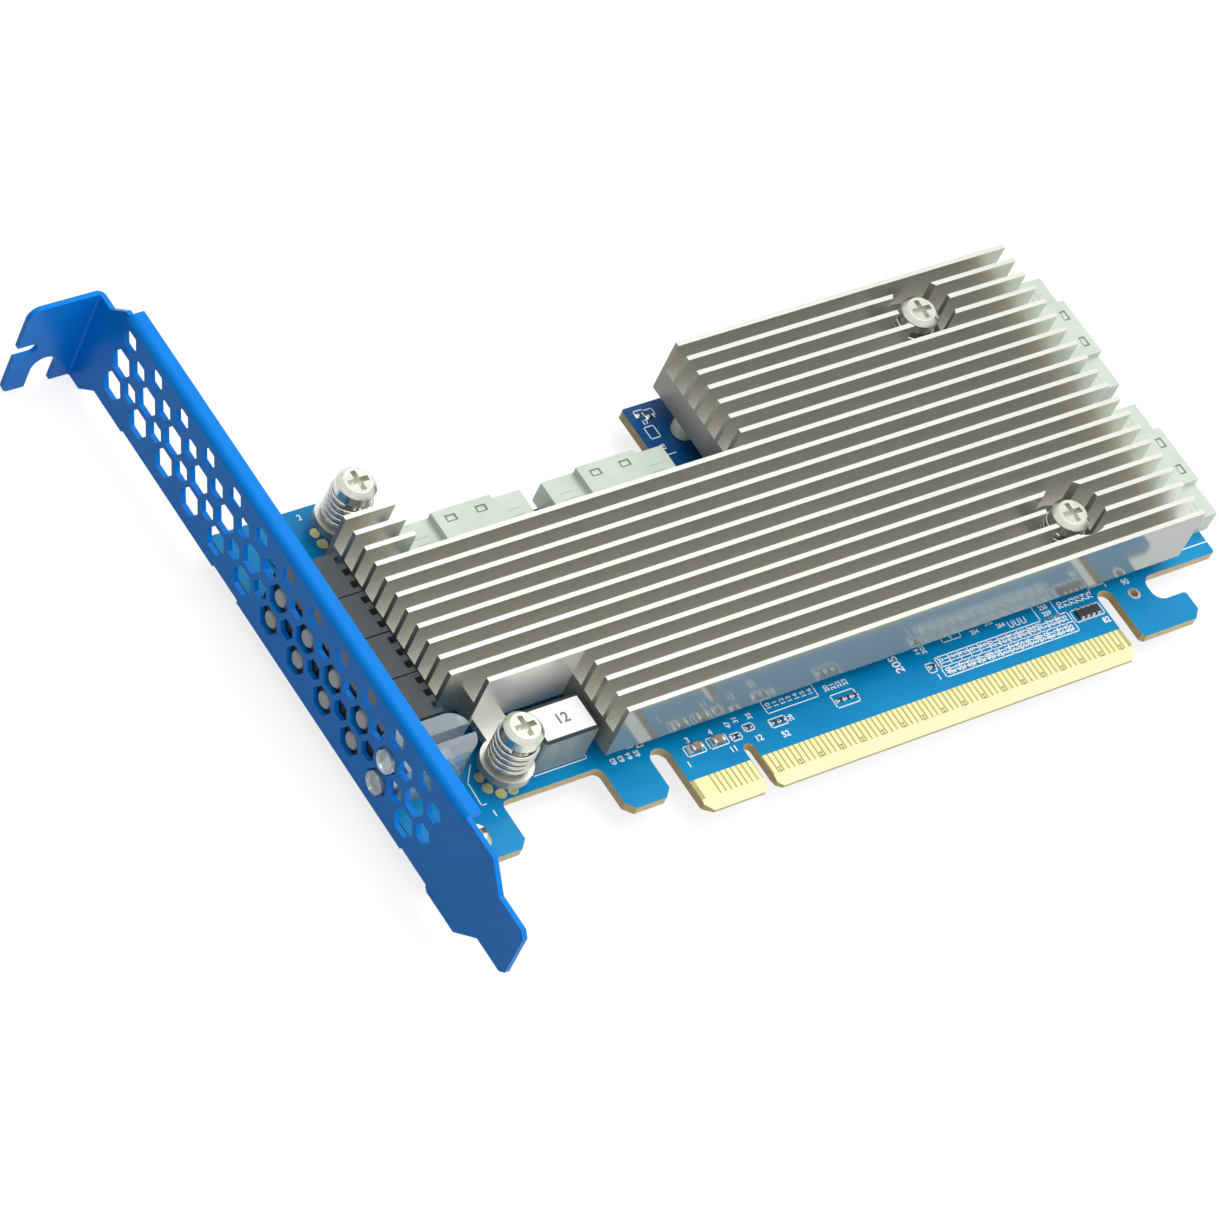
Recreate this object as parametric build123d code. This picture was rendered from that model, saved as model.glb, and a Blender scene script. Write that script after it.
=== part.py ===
from build123d import *

import os
from math import cos, pi, sin

# Driving dimensions, in millimetres.
# X runs along the edge contacts away from the bracket, Y up the card, Z out of its component side.
# The origin is on the card's lower edge, midway across the key notch, on the component side's surface.

# One overrun serves every cut that has to pass a face.
overrun = 1.0

# Circuit board
board_thickness = 1.57
board_height = 68.9
board_left = -59.05
board_right_from_fingers = 25.55
board_corner = 0.6
shoulder_height = 12.55
cable_notch_depth = 12.1
cable_notch_left_margin = 1.65
cable_notch_right_margin = 0.95

# Edge connector, with its contacts in two sections on either side of the key
contact_pitch = 1.0
contact_width = 0.7
contact_bottom = 2.1
contact_top = 5.5
contact_plating = 0.05
short_contacts = 11
long_contacts = 71
joined_contacts = 3
first_contact_from_key = 1.5
key_width = 1.9
key_top = 8.25
key_corner = 0.8
section_margin = 1.1
finger_corner = 1.3
bevel_run = 2.0
bevel_depth = 0.5

# Lobes and slots beside the edge connector
left_slot_width = 3.55
left_slot_top = 12.4
right_slot_width = 3.0
right_slot_top = 12.7
lobe_bottom = 4.35
lobe_left = -24.45
lobe_corner = 1.4
bay_left = -42.6
bay_corner = 1.2
hook_from_fingers = 15.6
hook_bottom = 2.8
hook_corner = 1.5
hook_top = 7.8
throat_from_fingers = 9.8
throat_corner = 1.9
lone_hole_from_fingers = 6.7
lone_hole_y = 10.4
lone_hole = 1.3

# Bracket, folded from one sheet
sheet = 0.86
bend_inside = 0.4
bend_wall = 0.9
bracket_face = -60.32
bracket_width = 18.42
bracket_length = 120.02
bracket_tip = -14.1
tongue_width = 10.19
tongue_length = 6.9
tongue_corner = 1.0
edge_step = 0.43
step_start = 4.6
step_end_below_tab = 14.52
neck_length = 6.02
neck_shift = 3.05
tab_reach = 11.9
tab_corner = 2.0
prong_corner = 1.2
notch_width = 4.42
notch_depth = 6.0
notch_from_face = 3.5
slit_width = 2.3
slit_depth = 3.8
slit_from_low_side = 7.9
flange_reach = 2.75
flange_start = 4.2
flange_end_gap = 0.7
lug_width = 7.0
lug_reach = 13.6
lug_screw_from_face = 10.1
lug_low_y = 8.3
lug_high_below_top = 7.3

# Vent holes in the bracket, in rows of hexagons, every other row set half a step down
vent_first_y = 13.28
vent_pitch = 7.6
vent_end_margin = 3.0
vent_row_pitch = 2.55
vent_first_z = 2.34
vent_large = 4.2
vent_small = 2.95
vent_rows = (vent_large, vent_small, vent_large, vent_small, vent_small)

# Heat sink, one piece with its fins along X
fin_pitch = 2.95
fin_thickness = 0.8
fin_below_top = 0.4
front_fin_limit = 12.4
sink_bottom = 3.2
sink_floor = 8.0
sink_top = 14.0
sink_right_inset = 9.5
sink_left = -47.3
upper_fins = 7
upper_left = 22.34
short_fins = 3
short_fin_gap = 4.35
front_fins = 5
step_left = -42.4
front_left = -24.85
pocket_radius = 5.2
ear_radius = 4.2
ear_top = 4.6
neck_left = -41.8
low_neck_gap = 0.9
high_neck_gap = 2.65
high_neck_lap = 3.5

# Spring screws that hold the heat sink
left_screw_x = -40.7
left_screw_low_y = 16.3
left_screw_below_top = 5.9
right_screw_inset = 21.15
right_screw_low_y = 20.6
right_screw_below_top = 6.1
screw_shank = 3.0
screw_hole = 3.6
screw_head = 6.3
screw_head_height = 2.4
screw_head_top = 13.0
screw_head_chamfer = 0.8
recess_width = 3.6
recess_arm = 0.9
recess_depth = 1.2
spring_outer = 7.0
spring_wire = 0.7
spring_turns = 4.5
spring_steps_per_turn = 10
spring_sides = 4
spring_end_gap = 0.05
standoff_barrel = 5.4
standoff_spigot = 4.0
standoff_bore = 3.1
board_hole = 4.2

# Fixing screws of the bracket
fixing_shank = 2.9
fixing_head = 5.2
fixing_head_height = 1.9
fixing_head_chamfer = 1.1
fixing_tip = 0.4
fixing_hole = 3.0
fixing_board_hole = 3.4

# Controller and the chips around it
chip_x = 13.4
chip_front = 15.5
chip_back_gap = 2.65
chip_thickness = 1.2
lid_inset = 2.5
lid_thickness = 1.4
thermal_pad_inset = 2.0
memory_x = 44.0
memory_first_y = 22.0
memory_pitch = 12.0
memory_count = 3
memory_length = 10.5
memory_width = 9.0
memory_height = 1.1
regulator_inset = 10.65
regulator_first_y = 30.0
regulator_pitch = 10.0
regulator_count = 3
regulator_width = 6.0
regulator_height = 0.9
flash_x = 57.0
flash_y = 34.0
flash_length = 5.3
flash_width = 8.0
flash_height = 1.8
crystal_x = 27.6
crystal_below_top = 6.8
crystal_length = 10.0
crystal_width = 4.0
crystal_height = 2.6
crystal_end_flat = 0.1

# Indicator blocks behind the bracket, one to a column of vents from the light pipe up to the upper lug
block_lug_gap = 6.5
block_front_gap = 0.25
block_depth = 11.0
block_gap = 0.15
block_height = 9.0
lens_radius = 1.5
lens_seat_depth = 1.2
lens_proud = 0.85
lens_clearance = 0.08
lens_low_z = 2.3
lens_high_z = 7.35
block_notches = 3
block_notch_pitch = 2.3
block_notch_width = 1.1
block_notch_depth = 1.1
block_notch_drop = 1.4

# Clear light pipe beside the blocks
pipe_column = 1
pipe_radius = 1.85
pipe_proud = 0.5
pipe_width = 7.0
pipe_depth = 13.6
pipe_height = 8.9
pipe_back_radius = 3.0
pipe_groove_width = 1.6
pipe_groove_depth = 3.4
lamp_pocket = 3.0
lamp_pocket_depth = 1.4
lamp_length = 1.6
lamp_width = 1.0
lamp_height = 0.7
lamp_first_from_front = 4.0
lamp_spacing = 5.5

# Power inductor in the front corner
inductor_x = -30.65
inductor_y = 18.25
inductor_length = 10.1
inductor_width = 6.7
inductor_height = 7.5
inductor_edge = 0.4
terminal_width = 3.0
terminal_length = 0.25
terminal_rise = 3.4
label_inset = 0.6
label_thickness = 0.05

# Cable connectors, two on the top edge and two on the right edge
shell_width = 23.1
shell_depth = 9.3
shell_height = 5.6
shell_side_height = 4.3
shell_mid_width = 11.0
shell_sheet = 0.3
top_pair_middle = -8.85
top_pair_gap = 4.0
top_front_below_top = 10.45
right_front_overhang = 1.5
right_pair_gap = 4.1
right_pair_below_top = 1.85
window_width = 1.9
window_length = 1.2
window_spacing = 5.55
window_setback = 1.2
core_back = 3.0
core_clearance = 0.05
blade_thickness = 1.2
blade_setback = 1.6
blade_margin = 1.5

# Small parts on the card's face
capacitor_length = 2.0
capacitor_width = 1.25
capacitor_height = 0.95
resistor_length = 1.05
resistor_width = 0.55
resistor_height = 0.4
end_share = 0.24
array_inset = 3.4
array_y = 10.0
array_length = 4.4
array_width = 1.6
array_height = 0.5
capacitor_places = ((-8.2, 10.3), (-4.2, 10.2))
resistor_places = (
    (-21.4, 15.2), (-19.7, 14.8), (-18.0, 14.4), (-16.4, 14.0), (-0.9, 9.9), (1.9, 10.6), (6.6, 9.9),
    (7.9, 9.9), (19.2, 9.8), (20.6, 9.8), (22.0, 9.8), (37.6, 10.0),
)
top_resistor_places = ((19.6, 2.0), (21.1, 2.7))

# Places worked out from the sizes above
board_bottom = -board_thickness
short_end = -(first_contact_from_key + (short_contacts - 1) * contact_pitch + section_margin)
long_end = first_contact_from_key + (long_contacts - 1) * contact_pitch + section_margin
key_side = key_width / 2
left_slot_left = short_end - left_slot_width
right_slot_right = long_end + right_slot_width
throat_left = long_end + throat_from_fingers
hook_right = long_end + hook_from_fingers
lone_hole_x = long_end + lone_hole_from_fingers
board_right = long_end + board_right_from_fingers
array_x = long_end - array_inset
top_connector_1_x = top_pair_middle - (shell_width + top_pair_gap) / 2
top_connector_2_x = top_pair_middle + (shell_width + top_pair_gap) / 2
top_connector_left = top_connector_1_x - shell_width / 2
top_connector_right = top_connector_2_x + shell_width / 2
top_connector_front = board_height - top_front_below_top
right_connector_front = board_right + right_front_overhang
right_connector_1_y = board_height - right_pair_below_top - shell_width / 2
right_connector_2_y = right_connector_1_y - shell_width - right_pair_gap
cable_notch_left = top_connector_left - cable_notch_left_margin
cable_notch_right = top_connector_right + cable_notch_right_margin
cable_notch_floor = board_height - cable_notch_depth
bracket_back = bracket_face + sheet
bracket_low = board_bottom - sheet
bracket_high = bracket_low + bracket_width
bracket_middle = (bracket_low + bracket_high) / 2
tongue_low = bracket_middle - tongue_width / 2
tongue_high = bracket_middle + tongue_width / 2
shoulder_drop = (bracket_width - tongue_width) / 2
tongue_top = bracket_tip + tongue_length
tab_underside = bracket_tip + bracket_length
tab_surface = tab_underside + sheet
neck_start = tab_underside - neck_length
step_end = tab_underside - step_end_below_tab
flange_end = neck_start - flange_end_gap
vent_columns = 1 + int((neck_start - vent_end_margin - vent_first_y) / vent_pitch)
tab_low = bracket_low - neck_shift
tab_high = bracket_high - neck_shift
tab_end = bracket_face - tab_reach
notch_middle = bracket_face - notch_from_face - notch_width / 2
lug_screw_x = bracket_face + lug_screw_from_face
lug_high_y = board_height - lug_high_below_top
fin_first_y = board_height - fin_below_top
fin_count = 1 + int((fin_first_y - front_fin_limit) / fin_pitch)
step_fin = fin_count - front_fins
chip_back = top_connector_front - shell_depth - chip_back_gap
chip_width = chip_back - chip_front
chip_y = (chip_front + chip_back) / 2
lid_width = chip_width - lid_inset - lid_inset
thermal_pad_width = lid_width - thermal_pad_inset - thermal_pad_inset
block_top_column = int((lug_high_y - block_lug_gap - vent_first_y) / vent_pitch)
block_count = block_top_column - pipe_column
sink_right = board_right - sink_right_inset
short_right = top_connector_left - short_fin_gap
low_neck_right = inductor_x - inductor_length / 2 - low_neck_gap
high_neck_right = top_connector_left - high_neck_gap
high_neck_left = short_right - high_neck_lap
left_screw_high_y = board_height - left_screw_below_top
right_screw_x = sink_right - right_screw_inset
right_screw_high_y = board_height - right_screw_below_top
regulator_x = sink_right - regulator_inset
crystal_y = board_height - crystal_below_top
head_underside = screw_head_top - screw_head_height
block_front = bracket_back + block_front_gap
sink_screws = (
    (left_screw_x, left_screw_low_y), (left_screw_x, left_screw_high_y),
    (right_screw_x, right_screw_low_y), (right_screw_x, right_screw_high_y),
)
fixing_screws = ((lug_screw_x, lug_low_y), (lug_screw_x, lug_high_y))


def block(x_low, x_high, y_low, y_high, z_low, z_high):
    """Box between two limits on each axis."""
    middle = Pos((x_low + x_high) / 2, (y_low + y_high) / 2, (z_low + z_high) / 2)
    return middle * Box(x_high - x_low, y_high - y_low, z_high - z_low)


def chip(x, y, length, width, z_low, z_high):
    """Box centred on a place on the board."""
    return block(x - length / 2, x + length / 2, y - width / 2, y + width / 2, z_low, z_high)


def post(x, y, z_low, z_high, diameter):
    """Upright cylinder."""
    return Pos(x, y, (z_low + z_high) / 2) * Cylinder(diameter / 2, z_high - z_low)


def rod(x_low, x_high, y, z, radius):
    """Cylinder lying along X."""
    return Pos((x_low + x_high) / 2, y, z) * Rot(0, 90, 0) * Cylinder(radius, x_high - x_low)


def nearest_corners(shape, places):
    """The shape's corner nearest each place."""
    return [shape.vertices().sort_by_distance(place)[0] for place in places]


def edges_through(shape, axis, places):
    """The shape's straight edges along an axis, one nearest each place."""
    along = shape.edges().filter_by(axis)
    return [along.sort_by_distance(place)[0] for place in places]


def fin_y(index):
    """Lower face of a fin, counted from the top one."""
    return fin_first_y - fin_pitch * index


def vent_y(column):
    """Middle of a column of the large vents, counted from the lowest one."""
    return vent_first_y + vent_pitch * column


def board_outline():
    """Outline of the board, with the slots' round ends left square."""
    left_slot_base = left_slot_top - left_slot_width / 2
    right_slot_base = right_slot_top - right_slot_width / 2
    outline = Polygon(
        (board_left, lobe_bottom),
        (bay_left - lobe_corner, lobe_bottom),
        (bay_left, lobe_bottom + lobe_corner),
        (bay_left, shoulder_height),
        (lobe_left, shoulder_height),
        (lobe_left, lobe_bottom + lobe_corner),
        (lobe_left + lobe_corner, lobe_bottom),
        (left_slot_left - lobe_corner, lobe_bottom),
        (left_slot_left, lobe_bottom + lobe_corner),
        (left_slot_left, left_slot_base),
        (short_end, left_slot_base),
        (short_end, finger_corner),
        (short_end + finger_corner, 0),
        (-key_side - key_corner, 0),
        (-key_side, key_corner),
        (-key_side, key_top - key_side),
        (key_side, key_top - key_side),
        (key_side, key_corner),
        (key_side + key_corner, 0),
        (long_end - finger_corner, 0),
        (long_end, finger_corner),
        (long_end, right_slot_base),
        (right_slot_right, right_slot_base),
        (right_slot_right, hook_bottom + board_corner),
        (right_slot_right + board_corner, hook_bottom),
        (hook_right - hook_corner, hook_bottom),
        (hook_right, hook_bottom + hook_corner),
        (hook_right, hook_top),
        (throat_left, hook_top),
        (throat_left, shoulder_height),
        (board_right, shoulder_height),
        (board_right, board_height),
        (cable_notch_right, board_height),
        (cable_notch_right, cable_notch_floor),
        (cable_notch_left, cable_notch_floor),
        (cable_notch_left, board_height),
        (board_left, board_height),
        align=None,
    )
    outline = fillet(nearest_corners(outline, ((throat_left, hook_top), (throat_left, shoulder_height))),
                     throat_corner)
    inner = ((bay_left, shoulder_height), (lobe_left, shoulder_height),
             (cable_notch_left, cable_notch_floor), (cable_notch_right, cable_notch_floor))
    outline = fillet(nearest_corners(outline, inner), bay_corner)
    outer = ((board_right, shoulder_height), (board_right, board_height), (cable_notch_right, board_height),
             (cable_notch_left, board_height), (hook_right, hook_top))
    return fillet(nearest_corners(outline, outer), board_corner)


def finger_bevel():
    """Wedge that thins the component side of the fingers towards their tip."""
    wedge = Polygon((bevel_run, 0), (0, -bevel_depth), (-overrun, -bevel_depth), (-overrun, overrun),
                    (bevel_run, overrun), align=None)
    length = long_end - short_end + overrun + overrun
    return extrude(Plane.YZ.offset(short_end - overrun) * wedge, length, dir=(1, 0, 0))


def make_board():
    """Circuit board with its slots, bevelled fingers and screw holes."""
    board = Pos(0, 0, board_bottom) * extrude(board_outline(), board_thickness)
    low = board_bottom - overrun
    cuts = [post(0, key_top - key_side, low, overrun, key_width)]
    cuts += [post(left_slot_left + left_slot_width / 2, left_slot_top - left_slot_width / 2, low, overrun,
                  left_slot_width)]
    cuts += [post(long_end + right_slot_width / 2, right_slot_top - right_slot_width / 2, low, overrun,
                  right_slot_width)]
    cuts += [post(x, y, low, overrun, board_hole) for x, y in sink_screws]
    cuts += [post(x, y, low, overrun, fixing_board_hole) for x, y in fixing_screws]
    cuts += [post(lone_hole_x, lone_hole_y, low, overrun, lone_hole)]
    bevel = finger_bevel()
    other_bevel = mirror(bevel, Plane.XY.offset(board_bottom / 2))
    return board - cuts - [bevel, other_bevel]


def contact_spans():
    """Left and right side of each contact, with those at the short section's end joined into one."""
    half = contact_width / 2
    first = -(first_contact_from_key + (short_contacts - 1) * contact_pitch)
    last_joined = first + (joined_contacts - 1) * contact_pitch
    spans = [(first - half, last_joined + half)]
    for index in range(joined_contacts, short_contacts):
        middle = first + index * contact_pitch
        spans.append((middle - half, middle + half))
    for index in range(long_contacts):
        middle = first_contact_from_key + index * contact_pitch
        spans.append((middle - half, middle + half))
    return spans


def make_contacts(z_low, z_high):
    """Row of edge contacts between two levels."""
    return Compound([block(left, right, contact_bottom, contact_top, z_low, z_high)
                     for left, right in contact_spans()])


def bracket_outline():
    """Outline of the bracket's plate, as places in Y and Z."""
    inner_edge = bracket_low + edge_step
    neck_top = tab_underside - bend_inside
    return Polygon(
        (neck_top, tab_low),
        (neck_start + neck_shift, tab_low),
        (neck_start, bracket_low),
        (step_end + edge_step, bracket_low),
        (step_end, inner_edge),
        (step_start, inner_edge),
        (step_start - edge_step, bracket_low),
        (tongue_top + shoulder_drop, bracket_low),
        (tongue_top, tongue_low),
        (bracket_tip + tongue_corner, tongue_low),
        (bracket_tip, tongue_low + tongue_corner),
        (bracket_tip, tongue_high - tongue_corner),
        (bracket_tip + tongue_corner, tongue_high),
        (tongue_top, tongue_high),
        (tongue_top + shoulder_drop, bracket_high),
        (neck_start, bracket_high),
        (neck_start + neck_shift, tab_high),
        (neck_top, tab_high),
        align=None,
    )


def vents():
    """Prisms that cut the vent holes, row by row."""
    prisms = []
    for row, across in enumerate(vent_rows):
        shift = vent_pitch / 2 if row % 2 else 0
        outline = RegularPolygon(across / 2, 6, major_radius=False)
        for column in range(vent_columns):
            place = Pos(vent_y(column) - shift, vent_first_z + vent_row_pitch * row, 0)
            plane = Plane.YZ.offset(bracket_face - overrun)
            prisms.append(extrude(plane * place * outline, sheet + overrun + overrun))
    return prisms


def mounting_tab():
    """Tab at the top of the bracket, with its screw notch and the slit in its free end."""
    middle = (tab_low + tab_high) / 2
    tab = block(tab_end, bracket_back, tab_underside, tab_surface, tab_low, tab_high)
    tab = tab + block(bracket_face, bracket_back, neck_start + neck_shift, tab_surface, tab_low, tab_high)
    tab = fillet(edges_through(tab, Axis.Z, [(bracket_back, tab_surface, middle)]), bend_inside + sheet)
    tab = fillet(edges_through(tab, Axis.Z, [(bracket_face, tab_underside, middle)]), bend_inside)
    tab = fillet(edges_through(tab, Axis.Y, [(tab_end, tab_surface, tab_high)]), tab_corner)
    tab = fillet(edges_through(tab, Axis.Y, [(tab_end, tab_surface, tab_low)]), prong_corner)
    low = tab_underside - overrun
    high = tab_surface + overrun
    notch_end = tab_low + notch_depth - notch_width / 2
    notch = block(notch_middle - notch_width / 2, notch_middle + notch_width / 2, low, high,
                  tab_low - overrun, notch_end)
    notch_round = Pos(notch_middle, (low + high) / 2, notch_end) * Rot(90, 0, 0)
    slit_end = tab_end + slit_depth - slit_width / 2
    slit_low = tab_low + slit_from_low_side
    slit = block(tab_end - overrun, slit_end, low, high, slit_low, slit_low + slit_width)
    slit_round = Pos(slit_end, (low + high) / 2, slit_low + slit_width / 2) * Rot(90, 0, 0)
    cuts = [notch, notch_round * Cylinder(notch_width / 2, high - low)]
    cuts += [slit, slit_round * Cylinder(slit_width / 2, high - low)]
    return tab - cuts


def lug(y):
    """Lug folded under the board, with the threaded hole for its screw."""
    foot = block(bracket_face, bracket_face + lug_reach, y - lug_width / 2, y + lug_width / 2,
                 bracket_low, board_bottom)
    wall = block(bracket_face, bracket_back, y - lug_width / 2, y + lug_width / 2, bracket_low,
                 board_bottom + bend_wall)
    folded = foot + wall
    folded = fillet(edges_through(folded, Axis.Y, [(bracket_back, y, board_bottom)]), bend_inside)
    folded = fillet(edges_through(folded, Axis.Y, [(bracket_face, y, bracket_low)]), bend_inside + sheet)
    return folded - post(lug_screw_x, y, bracket_low - overrun, overrun, fixing_hole)


def flange():
    """Stiffening flange along the bracket's upper edge."""
    middle = (flange_start + flange_end) / 2
    lip = block(bracket_face, bracket_face + flange_reach, flange_start, flange_end,
                bracket_high - sheet, bracket_high)
    wall = block(bracket_face, bracket_back, flange_start, flange_end, bracket_high - sheet - bend_wall,
                 bracket_high)
    folded = lip + wall
    inside = edges_through(folded, Axis.Y, [(bracket_back, middle, bracket_high - sheet)])
    folded = fillet(inside, bend_inside)
    outside = edges_through(folded, Axis.Y, [(bracket_face, middle, bracket_high)])
    return fillet(outside, bend_inside + sheet)


def make_bracket():
    """Bracket with its mounting tab, vents, flange and the two lugs under the board."""
    plate = extrude(Plane.YZ.offset(bracket_face) * bracket_outline(), sheet, dir=(1, 0, 0))
    upper_edge = block(bracket_face - overrun, bracket_back + overrun, flange_start, flange_end,
                       bracket_high - sheet - bend_wall, bracket_high + overrun)
    lug_edges = [block(bracket_face - overrun, bracket_back + overrun, y - lug_width / 2, y + lug_width / 2,
                       bracket_low - overrun, board_bottom + bend_wall) for y in (lug_low_y, lug_high_y)]
    body = (plate - upper_edge - lug_edges) + [flange(), lug(lug_low_y), lug(lug_high_y), mounting_tab()]
    return body - vents()


def make_fixing_screws():
    """Dome-headed screws that hold the bracket's lugs to the board."""
    screws = []
    for x, y in fixing_screws:
        head = post(x, y, 0, fixing_head_height, fixing_head)
        head = chamfer(head.edges().group_by(Axis.Z)[-1], fixing_head_chamfer)
        head = head - phillips_recess(x, y, fixing_head_height)
        screws.append(head + post(x, y, bracket_low - fixing_tip, 0, fixing_shank))
    return Compound(screws)


def phillips_recess(x, y, top):
    """Cross-shaped cut in the top of a screw's head."""
    low = top - recess_depth
    high = top + overrun
    along_x = chip(x, y, recess_width, recess_arm, low, high)
    along_y = chip(x, y, recess_arm, recess_width, low, high)
    return [along_x, along_y]


def sink_base():
    """Base of the heat sink under its fins, level by level across the card."""
    return [
        block(upper_left, sink_right, fin_y(upper_fins), fin_y(0) + fin_thickness, sink_bottom, sink_floor),
        block(sink_left, sink_right, fin_y(step_fin - 1), fin_y(upper_fins) + fin_thickness, sink_bottom,
              sink_floor),
        block(sink_left, short_right, fin_y(upper_fins), fin_y(upper_fins - short_fins) + fin_thickness,
              sink_bottom, sink_floor),
        block(step_left, sink_right, fin_y(step_fin), fin_y(step_fin - 1), sink_bottom, sink_floor),
        block(front_left, sink_right, fin_y(fin_count - 1), fin_y(step_fin), sink_bottom, sink_floor),
    ]


def fin_left(index):
    """Left end of a fin, counted from the top one."""
    if index < upper_fins:
        return upper_left
    if index < step_fin:
        return sink_left
    if index == step_fin:
        return step_left
    return front_left


def sink_fins():
    """All fins, with the short ones left of the top connectors."""
    fins = []
    for index in range(fin_count):
        low = fin_y(index)
        fins.append(block(fin_left(index), sink_right, low, low + fin_thickness, sink_bottom, sink_top))
    for index in range(upper_fins - short_fins, upper_fins):
        low = fin_y(index)
        fins.append(block(sink_left, short_right, low, low + fin_thickness, sink_bottom, sink_top))
    return fins


def sink_ears():
    """Ears that carry the two left screws."""
    low_end_y = fin_y(step_fin) + fin_thickness
    low_neck = block(neck_left, low_neck_right, left_screw_low_y, low_end_y, sink_bottom, ear_top)
    high_end_y = fin_y(upper_fins - short_fins)
    high_neck = block(high_neck_left, high_neck_right, high_end_y, left_screw_high_y, sink_bottom, ear_top)
    ends = [post(left_screw_x, y, sink_bottom, ear_top, ear_radius + ear_radius)
            for y in (left_screw_low_y, left_screw_high_y)]
    return [low_neck, high_neck] + ends


def make_heat_sink():
    """Finned heat sink, recessed around the right screws and drilled for all four."""
    base = sink_base()
    body = base[0] + base[1:] + sink_fins() + sink_ears()
    pockets = [post(right_screw_x, y, ear_top, sink_top + overrun, pocket_radius + pocket_radius)
               for y in (right_screw_low_y, right_screw_high_y)]
    holes = [post(x, y, sink_bottom - overrun, ear_top + overrun, screw_hole) for x, y in sink_screws]
    return body - pockets - holes


def make_spring_screws():
    """Screws that press the heat sink down through the springs."""
    screws = []
    for x, y in sink_screws:
        head = post(x, y, head_underside, screw_head_top, screw_head)
        head = chamfer(head.edges().group_by(Axis.Z)[-1], screw_head_chamfer)
        head = head - phillips_recess(x, y, screw_head_top)
        screws.append(head + post(x, y, board_bottom, head_underside, screw_shank))
    return Compound(screws)


def make_springs():
    """Coil springs between the heat sink and the screws' heads."""
    radius = (spring_outer - spring_wire) / 2
    low = ear_top + spring_end_gap + spring_wire / 2
    high = head_underside - spring_end_gap - spring_wire / 2
    steps = round(spring_turns * spring_steps_per_turn)
    step_turn = 2 * pi / spring_steps_per_turn
    rise = (high - low) / steps
    points = [(radius * cos(step_turn * index), radius * sin(step_turn * index), rise * index)
              for index in range(steps + 1)]
    path = Polyline(*points)
    section = Plane(origin=path @ 0, z_dir=path % 0) * RegularPolygon(spring_wire / 2, spring_sides)
    coil = sweep(section, path=path, transition=Transition.RIGHT)
    return Compound([Pos(x, y, low) * coil for x, y in sink_screws])


def make_standoffs():
    """Threaded standoffs, each with its spigot in a hole of the board."""
    standoffs = []
    for x, y in sink_screws:
        barrel = post(x, y, 0, sink_bottom, standoff_barrel)
        spigot = post(x, y, board_bottom, 0, standoff_spigot)
        bore = post(x, y, board_bottom - overrun, sink_bottom + overrun, standoff_bore)
        standoffs.append(barrel + spigot - bore)
    return Compound(standoffs)


def column_of_chips(x, first_y, pitch, count, length, width, height):
    """Equal chips in a column on the board."""
    return Compound([chip(x, first_y + pitch * index, length, width, 0, height) for index in range(count)])


def make_crystal():
    """Oval metal can of the crystal."""
    can = chip(crystal_x, crystal_y, crystal_length, crystal_width, 0, crystal_height)
    return fillet(can.edges().filter_by(Axis.Z), (crystal_width - crystal_end_flat) / 2)


def make_indicator_block(column):
    """Housing of an indicator block, with the seats of its two lenses and the notches at its back."""
    middle = vent_y(column)
    half = (vent_pitch - block_gap) / 2
    housing = block(block_front, block_front + block_depth, middle - half, middle + half, 0, block_height)
    seat_end = block_front + lens_seat_depth
    cuts = [rod(block_front - overrun, seat_end, middle, z, lens_radius + lens_clearance)
            for z in (lens_low_z, lens_high_z)]
    first = middle - block_notch_pitch * (block_notches - 1) / 2
    for index in range(block_notches):
        y = first + block_notch_pitch * index
        cuts.append(block(block_front + block_depth - block_notch_depth, block_front + block_depth + overrun,
                          y - block_notch_width / 2, y + block_notch_width / 2,
                          block_height - block_notch_drop, block_height + overrun))
    return housing - cuts


def make_lenses(column):
    """The two lenses of an indicator block."""
    lenses = []
    for z in (lens_low_z, lens_high_z):
        lenses.append(rod(block_front - lens_proud, block_front + lens_seat_depth, vent_y(column), z,
                          lens_radius))
    return Compound(lenses)


def make_light_pipe():
    """Clear light pipe, with two rods through the vents and pockets over its lamps."""
    middle = vent_y(pipe_column)
    back = block_front + pipe_depth
    body = block(block_front, back, middle - pipe_width / 2, middle + pipe_width / 2, 0, pipe_height)
    corners = [(back, middle - pipe_width / 2, pipe_height), (back, middle + pipe_width / 2, pipe_height)]
    body = fillet(edges_through(body, Axis.Z, corners), pipe_back_radius)
    rods = [rod(bracket_face - pipe_proud, block_front + pipe_proud, middle, z, pipe_radius)
            for z in (vent_first_z, vent_first_z + vent_row_pitch + vent_row_pitch)]
    groove = block(block_front - overrun, back + overrun, middle - pipe_groove_width / 2,
                   middle + pipe_groove_width / 2, pipe_height - pipe_groove_depth, pipe_height + overrun)
    pockets = [chip(x, middle, lamp_pocket, lamp_pocket, -overrun, lamp_pocket_depth) for x in lamp_places()]
    return body - groove + rods - pockets


def lamp_places():
    """Distance along X of each lamp under the light pipe."""
    first = block_front + lamp_first_from_front
    return (first, first + lamp_spacing)


def make_lamps():
    """Lamps on the board that feed the light pipe."""
    return Compound([chip(x, vent_y(pipe_column), lamp_length, lamp_width, 0, lamp_height)
                     for x in lamp_places()])


def make_inductor():
    """Moulded body of the power inductor, with seats for its two terminals."""
    body = chip(inductor_x, inductor_y, inductor_length, inductor_width, 0, inductor_height)
    body = chamfer(body.edges().filter_by(Axis.Z), inductor_edge)
    return body - inductor_terminals()


def inductor_terminals():
    """The inductor's two terminals."""
    reach = inductor_length / 2 - terminal_length / 2
    return [chip(inductor_x + side * reach, inductor_y, terminal_length, terminal_width, 0, terminal_rise)
            for side in (-1, 1)]


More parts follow.
